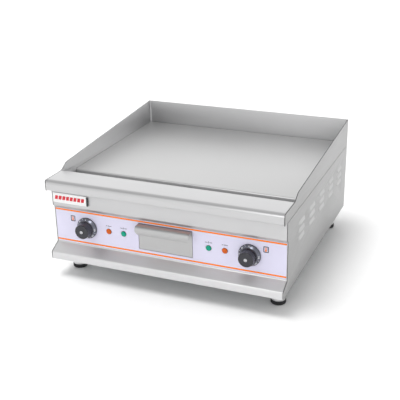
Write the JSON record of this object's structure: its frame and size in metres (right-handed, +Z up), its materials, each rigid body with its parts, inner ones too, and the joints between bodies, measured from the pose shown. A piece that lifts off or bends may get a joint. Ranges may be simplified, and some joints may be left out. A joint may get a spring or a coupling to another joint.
{
  "type": "flat top griddle",
  "caption": "Countertop electric griddle: sunken flat steel plate with raised side and back splash guards, bullnose front, dial knobs, pilot lamps, grease drawer and levelling feet.",
  "frame": {"origin": "centre of the bounding box on the floor, under the four feet; the depth counts the cable gland behind the back panel", "axes": "+X to the right seen from the front, +Y to the back, +Z up; the controls face -Y"},
  "size_m": [0.606, 0.595, 0.3035],
  "materials": {
    "stainless": "satin brushed stainless sheet",
    "plate": "smooth ground steel cooking plate",
    "galvanised": "zinc-coated sheet, dull grey",
    "control_film": "pale lavender control film with two orange lines",
    "badge": "plain white plate with rounded corners",
    "bakelite": "moulded blue-black phenolic, semi-gloss",
    "bright": "bright nickel",
    "orange_lens": "orange lens",
    "green_lens": "green lens",
    "nylon": "black nylon",
    "rubber": "black rubber",
    "sheath": "heat-tinted nickel-alloy sheath",
    "fibre": "ceramic-fibre blanket",
    "thermostat_case": "cream ceramic-filled moulding",
    "copper": "copper tube and bulb",
    "brass": "plain brass",
    "wire": "glass-fibre sleeving"
  },
  "bodies": {
    "casing": {"back_splash": "stainless", "front_nose_deck": "stainless", "grease_trough": "stainless", "drain_spout": "stainless", "front_panel": "stainless", "back_panel": "stainless", "splash_guard_left": "stainless", "splash_guard_right": "stainless", "side_panel_left": "stainless", "side_panel_right": "stainless", "griddle_plate": "plate", "element_clamp_front": "galvanised", "element_clamp_rear": "galvanised", "insulation_tray": "galvanised", "base_pan": "galvanised", "drawer_guide_left": "galvanised", "drawer_guide_right": "galvanised", "control_overlay": "control_film", "name_badge": "badge", "back_screw_1": "bright", "back_screw_2": "bright", "back_screw_3": "bright", "back_screw_4": "bright", "heat_lamp_lens_left": "orange_lens", "heat_lamp_lens_right": "orange_lens", "power_lamp_lens_left": "green_lens", "power_lamp_lens_right": "green_lens", "heat_lamp_housing_left": "nylon", "heat_lamp_housing_right": "nylon", "power_lamp_housing_left": "nylon", "power_lamp_housing_right": "nylon", "terminal_block": "nylon", "cable_gland": "nylon", "gland_locknut": "nylon", "heating_element_left": "sheath", "heating_element_right": "sheath", "insulation_blanket": "fibre", "thermostat_body_left": "thermostat_case", "thermostat_body_right": "thermostat_case", "thermostat_probe_left": "copper", "thermostat_probe_right": "copper", "bonding_stud": "brass", "wiring_loom_left": "wire", "wiring_loom_right": "wire"},
    "drawer": {"drawer_front": "stainless", "drawer_box": "stainless"},
    "control_left": {"knob_left": "bakelite", "knob_cap_left": "bright", "thermostat_shaft_left": "bright"},
    "control_right": {"knob_right": "bakelite", "knob_cap_right": "bright", "thermostat_shaft_right": "bright"},
    "pad_front_left": {"foot_pad_front_left": "rubber"},
    "stud_front_left": {"foot_stud_front_left": "stainless"},
    "pad_front_right": {"foot_pad_front_right": "rubber"},
    "stud_front_right": {"foot_stud_front_right": "stainless"},
    "pad_rear_left": {"foot_pad_rear_left": "rubber"},
    "stud_rear_left": {"foot_stud_rear_left": "stainless"},
    "pad_rear_right": {"foot_pad_rear_right": "rubber"},
    "stud_rear_right": {"foot_stud_rear_right": "stainless"}
  },
  "joints": [
    {"name": "drawer_slide", "type": "slide", "parent": "casing", "child": "drawer", "axis": [0, -1, 0], "range_m": [0, 0.335]},
    {"name": "knob_left_turn", "type": "hinge", "parent": "casing", "child": "control_left", "pos_m": [-0.21, -0.268, 0.133], "axis": [0, 1, 0], "range_deg": [0, 270]},
    {"name": "knob_right_turn", "type": "hinge", "parent": "casing", "child": "control_right", "pos_m": [0.21, -0.268, 0.133], "axis": [0, 1, 0], "range_deg": [0, 270]},
    {"name": "foot_front_left_rise", "type": "slide", "parent": "casing", "child": "pad_front_left", "axis": [0, 0, -1], "range_m": [0, 0.0121]},
    {"name": "foot_front_left_turn", "type": "hinge", "parent": "pad_front_left", "child": "stud_front_left", "pos_m": [-0.266, -0.2235, 0.03], "axis": [0, 0, 1], "range_deg": [0, 2880]},
    {"name": "foot_front_right_rise", "type": "slide", "parent": "casing", "child": "pad_front_right", "axis": [0, 0, -1], "range_m": [0, 0.0121]},
    {"name": "foot_front_right_turn", "type": "hinge", "parent": "pad_front_right", "child": "stud_front_right", "pos_m": [0.266, -0.2235, 0.03], "axis": [0, 0, 1], "range_deg": [0, 2880]},
    {"name": "foot_rear_left_rise", "type": "slide", "parent": "casing", "child": "pad_rear_left", "axis": [0, 0, -1], "range_m": [0, 0.0121]},
    {"name": "foot_rear_left_turn", "type": "hinge", "parent": "pad_rear_left", "child": "stud_rear_left", "pos_m": [-0.266, 0.2325, 0.03], "axis": [0, 0, 1], "range_deg": [0, 2880]},
    {"name": "foot_rear_right_rise", "type": "slide", "parent": "casing", "child": "pad_rear_right", "axis": [0, 0, -1], "range_m": [0, 0.0121]},
    {"name": "foot_rear_right_turn", "type": "hinge", "parent": "pad_rear_right", "child": "stud_rear_right", "pos_m": [0.266, 0.2325, 0.03], "axis": [0, 0, 1], "range_deg": [0, 2880]}
  ],
  "couplings": [
    {"joint": "foot_front_left_rise", "follows": "foot_front_left_turn", "m_per_rad": 0.00023873},
    {"joint": "foot_front_right_rise", "follows": "foot_front_right_turn", "m_per_rad": 0.00023873},
    {"joint": "foot_rear_left_rise", "follows": "foot_rear_left_turn", "m_per_rad": 0.00023873},
    {"joint": "foot_rear_right_rise", "follows": "foot_rear_right_turn", "m_per_rad": 0.00023873}
  ]
}
